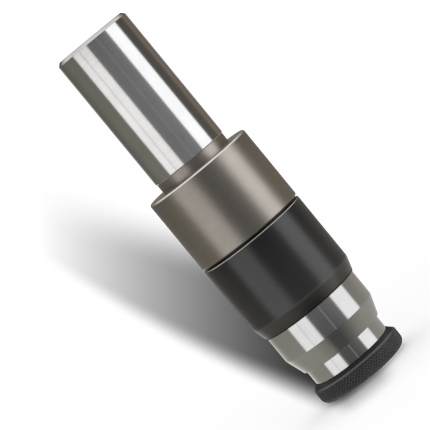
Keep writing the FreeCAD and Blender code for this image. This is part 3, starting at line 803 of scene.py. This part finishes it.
sleeveRadius, sleeveFront, sleeveRear = nodeSpan("locking_sleeve")
lipShadeTop = sleeveFront + sleeveSizes["darkEdge"]
# The lip's front edge takes painted shade where it meets the adapter
lipBand = (sleeveFront - bandSizes["lipBelow"], lipShadeTop, sleeveSizes["chamber"] + pickSlack)
rearEdge = sleeveSizes["rearChamfer"]
least, most = bandSizes["highlightShare"]
rearBand = (sleeveRear - most * rearEdge, sleeveRear - least * rearEdge, sleeveRadius - rearEdge)
paint(sleeve, "blackOxide", "shadedOxide", "chamferHighlight")
finishBands(sleeve, [lipBand, rearBand])

ringRadius, _, ringBack = nodeSpan("release_ring")
channelRadius = ringRadius - ringSizes["wall"] + bandSizes["channelSlack"]
paint(ring, "blackKnurl", "shadedOxide")
# The ring's rear taper, below the neck, takes painted shade
finishBands(ring, [(shadeLevel, ringBack, channelRadius)])
print("materials made:", len(materials))


# Camera, level with the shank's end and a little above the nose, rolled so that the object leans
cameraSettings = {
    "axisPoint": 66.5,
    "distance": 807.5,
    "elevation": 4.18,
    "roll": 39.46,
    "focal": 2695,
    "imageSize": 430,
    "sensor": 36.0,
    "rightShift": 3.68,
    "upShift": 3.02,
    "clip": (0.05, 50),
}


def cameraFrame(settings):
    # Right, up and forward directions of the camera, and its place in millimetres.
    lift = math.radians(settings["elevation"])
    roll = math.radians(settings["roll"])
    forward = Vector((0, math.cos(lift), -math.sin(lift)))
    level = Vector((1, 0, 0))
    upright = Vector((0, math.sin(lift), math.cos(lift)))
    right = math.cos(roll) * level - math.sin(roll) * upright
    up = math.sin(roll) * level + math.cos(roll) * upright
    place = Vector((0, 0, settings["axisPoint"])) - forward * settings["distance"]
    place -= right * settings["rightShift"] + up * settings["upShift"]
    return right, up, forward, place


right, up, forward, cameraPlace = cameraFrame(cameraSettings)
cameraData = bpy.data.cameras.new("camera")
cameraData.sensor_width = cameraSettings["sensor"]
cameraData.lens = cameraSettings["focal"] / cameraSettings["imageSize"] * cameraSettings["sensor"]
cameraData.clip_start, cameraData.clip_end = cameraSettings["clip"]
camera = bpy.data.objects.new("camera", cameraData)
bpy.context.scene.collection.objects.link(camera)
facing = Matrix((right, up, -forward)).transposed().to_4x4()
camera.matrix_world = Matrix.Translation(cameraPlace * millimetre) @ facing
bpy.context.scene.camera = camera

# Reflections come from a round studio tent that only mirror-like rays see. Bearings are degrees,
# 0 towards the camera and positive to the right, and lifts are degrees above the horizon. The
# tones of the walls and of what is below them are (bearing, colour).
tentSettings = {
    "radius": 4.0,
    "segments": 64,
    "rings": 32,
    "lowTones": [
        (-180, (1.0, 0.97, 0.92)),
        (-157, (0.72, 0.7, 0.65)),
        (-138, (0.4, 0.385, 0.345)),
        (-126, (0.34, 0.33, 0.29)),
        (-60, (0.32, 0.31, 0.275)),
        (-30, (0.24, 0.235, 0.21)),
        (-14, (0.085, 0.085, 0.08)),
        (14.5, (0.08, 0.08, 0.078)),
        (24, (0.11, 0.11, 0.105)),
        (38, (0.15, 0.148, 0.135)),
        (62, (0.28, 0.27, 0.24)),
        (90, (0.35, 0.335, 0.3)),
        (150, (0.41, 0.4, 0.37)),
        (180, (0.6, 0.58, 0.55)),
    ],
    "wallTones": [
        (-180, (0.7, 0.69, 0.66)),
        (-156, (0.16, 0.155, 0.135)),
        (-140, (0.155, 0.15, 0.13)),
        (-106, (0.24, 0.23, 0.195)),
        (-60, (0.24, 0.23, 0.195)),
        (-15, (0.255, 0.255, 0.26)),
        (12, (0.25, 0.25, 0.26)),
        (40, (0.3, 0.3, 0.31)),
        (88, (0.15, 0.145, 0.14)),
        (97, (0.11, 0.105, 0.095)),
        (116, (0.13, 0.118, 0.1)),
        (126, (0.24, 0.195, 0.15)),
        (138, (0.26, 0.215, 0.17)),
        (147, (0.13, 0.12, 0.11)),
        (158, (0.2, 0.19, 0.17)),
        (180, (0.7, 0.69, 0.66)),
    ],
    "wallLow": -6.2,
    "wallHigh": 4,
    "wallSoft": 5,
    "floorHigh": -62,
    "floorSoft": 14,
    "floorTone": 0.5,
    "upperTone": 0.05,
    "roofLow": 50,
    "roofSoft": 14,
    "roofTone": 1.0,
    "streaksPerDegree": 0.4,
    "streakDetail": 2.0,
    "streakDepth": 0.3,
    "panels": [
        {  # back left
            "bearings": (-190, -112), "lifts": (28, 110), "soft": 16, "fade": 32,
            "tone": (0.95, 0.93, 0.88),
        },
        {  # back right
            "bearings": (112, 190), "lifts": (28, 110), "soft": 16, "fade": 32,
            "tone": (0.95, 0.93, 0.88),
        },
        {  # left, upper half
            "bearings": (-71.5, -21.5), "lifts": (-3.9, 4), "soft": 5, "fade": 2,
            "tone": (1.42, 1.41, 1.4),
        },
        {  # left, lower half
            "bearings": (-71.5, -22.5), "lifts": (-15, -3.9), "soft": 7, "fade": 2,
            "tone": (1.12, 1.12, 1.13),
        },
        {  # seam in the left panel
            "bearings": (-49, -46), "lifts": (-15, 4), "soft": 2, "fade": 2,
            "tone": (0.86, 0.86, 0.88),
        },
        {  # right, upper half
            "bearings": (45.5, 85.7), "lifts": (-6.2, 26), "soft": 4, "fade": 2,
            "tone": (1.6, 1.61, 1.65),
        },
        {  # thin bright line in the dark front, upper half
            "bearings": (9.4, 13), "lifts": (-5, 4), "soft": 2, "fade": 3,
            "tone": (0.33, 0.33, 0.34),
        },
        {  # its lower half
            "bearings": (9.9, 12.7), "lifts": (-13, -5), "soft": 1.6, "fade": 3,
            "tone": (0.27, 0.27, 0.28),
        },
        {  # right, lower half
            "bearings": (44.4, 85.6), "lifts": (-30, -6.2), "soft": 7, "fade": 2,
            "tone": (1.2, 1.19, 1.21),
        },
    ],
}


def bearingStops(stops):
    # A ramp position is the share of the full turn, from -180 to 180 degrees.
    return [((degrees + 180) / 360, tone) for degrees, tone in stops]


def softRise(bench, value, middle, width):
    # 0 below the middle and 1 above it, with a smooth passage of the given width
    inputs = {"Value": value, "From Min": middle - width / 2, "From Max": middle + width / 2}
    return bench.add("ShaderNodeMapRange", inputs, interpolation_type="SMOOTHSTEP").outputs[0]


def softWindow(bench, value, low, high, width):
    rise = softRise(bench, value, low, width)
    fall = softRise(bench, value, high, width)
    return bench.calc("SUBTRACT", rise, fall)


def grey(level):
    return (level, level, level, 1)


def makeTent(s):
    bpy.ops.mesh.primitive_uv_sphere_add(segments=s["segments"], ring_count=s["rings"], radius=s["radius"])
    tent = bpy.context.object
    tent.name = "studioTent"
    material, bench = newMaterial("studioTent")
    place = bench.add("ShaderNodeTexCoord").outputs["Object"]
    direction = bench.add("ShaderNodeVectorMath", {0: place}, operation="NORMALIZE").outputs[0]
    split = bench.add("ShaderNodeSeparateXYZ", {0: direction}).outputs
    behind = bench.calc("MULTIPLY", split["Y"], -1.0)
    bearing = bench.calc("ARCTAN2", split["X"], behind)
    share = bench.calc("MULTIPLY_ADD", bearing, 1 / (2 * math.pi), 0.5)
    degrees = bench.calc("DEGREES", bearing)
    lift = bench.calc("DEGREES", bench.calc("ARCSINE", split["Z"]))

    walls = bench.ramp(share, bearingStops(s["wallTones"]))
    low = bench.ramp(share, bearingStops(s["lowTones"]))
    # From the ground up: floor, low tones, walls, a dark band and the roof
    tone = bench.blend(softRise(bench, lift, s["floorHigh"], s["floorSoft"]), grey(s["floorTone"]), low)
    tone = bench.blend(softRise(bench, lift, s["wallLow"], s["wallSoft"]), tone, walls)
    tone = bench.blend(softRise(bench, lift, s["wallHigh"], s["wallSoft"]), tone, grey(s["upperTone"]))
    tone = bench.blend(softRise(bench, lift, s["roofLow"], s["roofSoft"]), tone, grey(s["roofTone"]))
    for panel in s["panels"]:
        across = softWindow(bench, degrees, *panel["bearings"], panel["soft"])
        upright = softWindow(bench, lift, *panel["lifts"], panel["fade"])
        mask = bench.calc("MULTIPLY", across, upright)
        tone = bench.blend(mask, tone, (*panel["tone"], 1))
    # Fine upright streaks: the light varies a little from bearing to bearing
    along = bench.calc("MULTIPLY", degrees, s["streaksPerDegree"])
    streaks = {"W": along, "Scale": 1.0, "Detail": s["streakDetail"]}
    noise = bench.add("ShaderNodeTexNoise", streaks, noise_dimensions="1D").outputs["Fac"]
    strength = bench.calc("MULTIPLY_ADD", noise, s["streakDepth"], 1 - s["streakDepth"] / 2)
    glow = bench.add("ShaderNodeEmission", {"Color": tone, "Strength": strength})
    bench.add("ShaderNodeOutputMaterial", {"Surface": glow.outputs[0]})
    material.cycles.emission_sampling = "NONE"
    tent.data.materials.append(material)
    tent.visible_camera = tent.visible_diffuse = tent.visible_shadow = False
    tent.visible_transmission = False


makeTent(tentSettings)

# Floor that only keeps the shadow, under a white world: a disc whose rim curves up out of view.
# The object stands on its nose, so the floor goes with the spindle when it floats. It is clear
# from underneath, and mirrors don't see it.
floorSettings = {
    "flatRadius": 1.4,
    "flatSteps": 8,
    "rimRadius": 0.6,
    "rimSteps": 16,
    "columns": 96,
    "tone": 0.8,
}


def makeFloor(s):
    # Point (angle, step) = (radius cos angle, radius sin angle, level), where radius and level
    # run straight out from the axis and then round a quarter circle.
    turn = np.linspace(0, math.pi / 2, s["rimSteps"])
    flat = np.linspace(0, s["flatRadius"], s["flatSteps"], endpoint=False)
    radius = np.append(flat, s["flatRadius"] + s["rimRadius"] * np.sin(turn))
    level = np.append(np.zeros(s["flatSteps"]), s["rimRadius"] * (1 - np.cos(turn)))
    angle = np.linspace(0, 2 * math.pi, s["columns"], endpoint=False)[:, None]
    height = np.tile(level, (s["columns"], 1))
    place = np.stack([radius * np.cos(angle), radius * np.sin(angle), height], axis=2)
    corner = np.arange(place.shape[0] * place.shape[1]).reshape(place.shape[:2])
    nextColumn = np.roll(corner, -1, axis=0)
    faces = np.stack([corner[:, :-1], corner[:, 1:], nextColumn[:, 1:], nextColumn[:, :-1]], axis=2)
    mesh = bpy.data.meshes.new("floor")
    mesh.from_pydata(place.reshape(-1, 3).tolist(), [], faces.reshape(-1, 4).tolist())
    mesh.polygons.foreach_set("use_smooth", np.ones(len(mesh.polygons), bool))
    floor = bpy.data.objects.new("floor", mesh)
    bpy.context.scene.collection.objects.link(floor)
    material, bench = newMaterial("floor")
    paper = bench.add("ShaderNodeBsdfDiffuse", {"Color": grey(s["tone"])})
    clear = bench.add("ShaderNodeBsdfTransparent")
    below = bench.add("ShaderNodeNewGeometry").outputs["Backfacing"]
    sheet = bench.add("ShaderNodeMixShader", {0: below, 1: paper.outputs[0], 2: clear.outputs[0]})
    bench.add("ShaderNodeOutputMaterial", {"Surface": sheet.outputs[0]})
    mesh.materials.append(material)
    floor.is_shadow_catcher = True
    floor.visible_glossy = False
    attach(floor, "float_head")


makeFloor(floorSettings)

# World: a white backdrop where the camera, mirrors and glass look, a plain level for the rest.
# The backdrop carries two grey shades: a broad wedge that falls away to the object's left and
# ends behind it, and a narrow one that hugs the ring's front. Places are pixels of the picture,
# across to the right and down from the top left.
shadeSettings = {
    "plainLevel": 0.3,
    "displayPower": 2.2,
    "leastAhead": 0.001,
    "frontCosine": 0.9,
    "fadeStart": 40.0,
    "fadeRate": 0.0029,
    "deepest": 0.84,
    "upperAt": (80.0, 215.6),
    "upperSlope": 0.309,
    "upperSoft": 55,
    "lowerAt": (77.0, 276.0),
    "lowerSlope": 0.624,
    "lowerBend": -0.00053,
    "lowerSoft": 20.5,
    "lowerSpread": 0.06,
    "lowerLeastSoft": 3.0,
    "axisAt": (227.4, 204.9),
    "axisSoft": 54,
    "noseReach": 221,
    "noseSoft": 18,
    "contactDepth": 0.27,
    "contactReach": 22,
    "contactSides": {"low": -17, "lowSoft": 26, "high": 41, "highSoft": 20},
    "ringFront": 216.3,
    "ringBulge": 7.7,
    "ringHalf": 52.0,
}


def makeWorld(s, view):
    world = bpy.data.worlds.new("world")
    bpy.context.scene.world = world
    world.use_nodes = True
    bench = NodeBench(world.node_tree)

    # Where a ray's direction falls in the picture
    look = bench.add("ShaderNodeTexCoord").outputs["Generated"]
    cosine = bench.dot(look, forward)
    scale = bench.calc("DIVIDE", view["focal"], bench.calc("MAXIMUM", cosine, s["leastAhead"]))
    half = view["imageSize"] / 2
    across = bench.calc("MULTIPLY_ADD", bench.dot(look, right), scale, half)
    down = bench.calc("SUBTRACT", half, bench.calc("MULTIPLY", bench.dot(look, up), scale))
    inFront = bench.calc("GREATER_THAN", cosine, s["frontCosine"])

    # The same place from the object's axis: to its left, and along it towards the nose
    roll = math.radians(view["roll"])
    toTheRight = bench.calc("SUBTRACT", across, s["axisAt"][0])
    downwards = bench.calc("SUBTRACT", down, s["axisAt"][1])
    leftOfAxis = bench.calc(
        "SUBTRACT",
        bench.calc("MULTIPLY", downwards, math.sin(roll)),
        bench.calc("MULTIPLY", toTheRight, math.cos(roll)),
    )
    towardsNose = bench.calc(
        "ADD",
        bench.calc("MULTIPLY", downwards, math.cos(roll)),
        bench.calc("MULTIPLY", toTheRight, math.sin(roll)),
    )

    # Wedge: between a straight upper edge and a bent lower one, darker towards the object
    fromUpper = bench.calc("SUBTRACT", across, s["upperAt"][0])
    upperEdge = bench.calc("MULTIPLY_ADD", fromUpper, s["upperSlope"], s["upperAt"][1])
    fromLower = bench.calc("SUBTRACT", across, s["lowerAt"][0])
    bend = bench.calc("MULTIPLY_ADD", fromLower, s["lowerBend"], s["lowerSlope"])
    lowerEdge = bench.calc("MULTIPLY_ADD", fromLower, bend, s["lowerAt"][1])
    lowerSoft = bench.calc("MULTIPLY_ADD", fromLower, s["lowerSpread"], s["lowerSoft"])
    lowerSoft = bench.calc("MAXIMUM", lowerSoft, s["lowerLeastSoft"])
    depth = bench.calc("MULTIPLY", bench.calc("SUBTRACT", across, s["fadeStart"]), s["fadeRate"])
    wedge = bench.calc("MINIMUM", bench.calc("MAXIMUM", depth, 0.0), s["deepest"])
    wedgeEdges = [
        softRise(bench, bench.calc("SUBTRACT", down, upperEdge), 0, s["upperSoft"]),
        softRise(bench, bench.calc("DIVIDE", bench.calc("SUBTRACT", lowerEdge, down), lowerSoft), 0, 1),
        softRise(bench, leftOfAxis, 0, s["axisSoft"]),
        softRise(bench, bench.calc("SUBTRACT", s["noseReach"], towardsNose), 0, s["noseSoft"]),
        inFront,
    ]
    for edge in wedgeEdges:
        wedge = bench.calc("MULTIPLY", wedge, edge)

    # Contact shade: fades with the distance from the ring's front, which bulges in the middle
    sideShare = bench.calc("DIVIDE", leftOfAxis, s["ringHalf"])
    square = bench.calc("SUBTRACT", 1.0, bench.calc("MULTIPLY", sideShare, sideShare), clamp=True)
    ringEdge = bench.calc("MULTIPLY_ADD", bench.calc("SQRT", square), s["ringBulge"], s["ringFront"])
    beyondRing = bench.calc("SUBTRACT", towardsNose, ringEdge)
    sides, reach = s["contactSides"], s["contactReach"]
    contact = s["contactDepth"]
    contactEdges = [
        bench.calc("SUBTRACT", 1.0, softRise(bench, beyondRing, reach / 2, reach)),
        softRise(bench, leftOfAxis, sides["low"], sides["lowSoft"]),
        bench.calc("SUBTRACT", 1.0, softRise(bench, leftOfAxis, sides["high"], sides["highSoft"])),
        softRise(bench, beyondRing, -reach, reach),
        inFront,
    ]
    for edge in contactEdges:
        contact = bench.calc("MULTIPLY", edge, contact)

    light = bench.calc("MULTIPLY", bench.calc("SUBTRACT", 1.0, wedge), bench.calc("SUBTRACT", 1.0, contact))
    tone = bench.calc("POWER", light, s["displayPower"])
    backdrop = bench.add("ShaderNodeBackground", {"Color": tone, "Strength": 1.0})
    plain = bench.add("ShaderNodeBackground", {"Color": grey(1.0), "Strength": s["plainLevel"]})
    path = bench.add("ShaderNodeLightPath").outputs
    seen = bench.calc("MAXIMUM", path["Is Camera Ray"], path["Is Glossy Ray"])
    seen = bench.calc("MAXIMUM", seen, path["Is Transmission Ray"])
    mixed = bench.add("ShaderNodeMixShader", {0: seen, 1: plain.outputs[0], 2: backdrop.outputs[0]})
    bench.add("ShaderNodeOutputWorld", {"Surface": mixed.outputs[0]})


makeWorld(shadeSettings, cameraSettings)

# Soft lamps, which mirrors don't see, because the tent's panels stand for them there. The top
# lamp hangs a little behind the object and casts the floor's shadow. The front lamp casts none.
lampSettings = {
    "topLamp": {"place": (0.02, 0.14, 1.5), "power": 5, "size": 0.6, "shadow": True},
    "frontLamp": {"place": (0.1, -1.2, 1.1), "power": 24, "size": 1.4, "shadow": False},
}
for name, s in lampSettings.items():
    lampData = bpy.data.lights.new(name, "AREA")
    lampData.energy = s["power"]
    lampData.size = s["size"]
    lampData.use_shadow = s["shadow"]
    lamp = bpy.data.objects.new(name, lampData)
    lamp.location = s["place"]
    lamp.rotation_euler = (-Vector(s["place"])).to_track_quat("-Z", "Y").to_euler()
    lamp.visible_glossy = False
    bpy.context.scene.collection.objects.link(lamp)

bpy.context.scene.view_settings.view_transform = "Standard"
print("camera, tent, floor, world and lamps made")
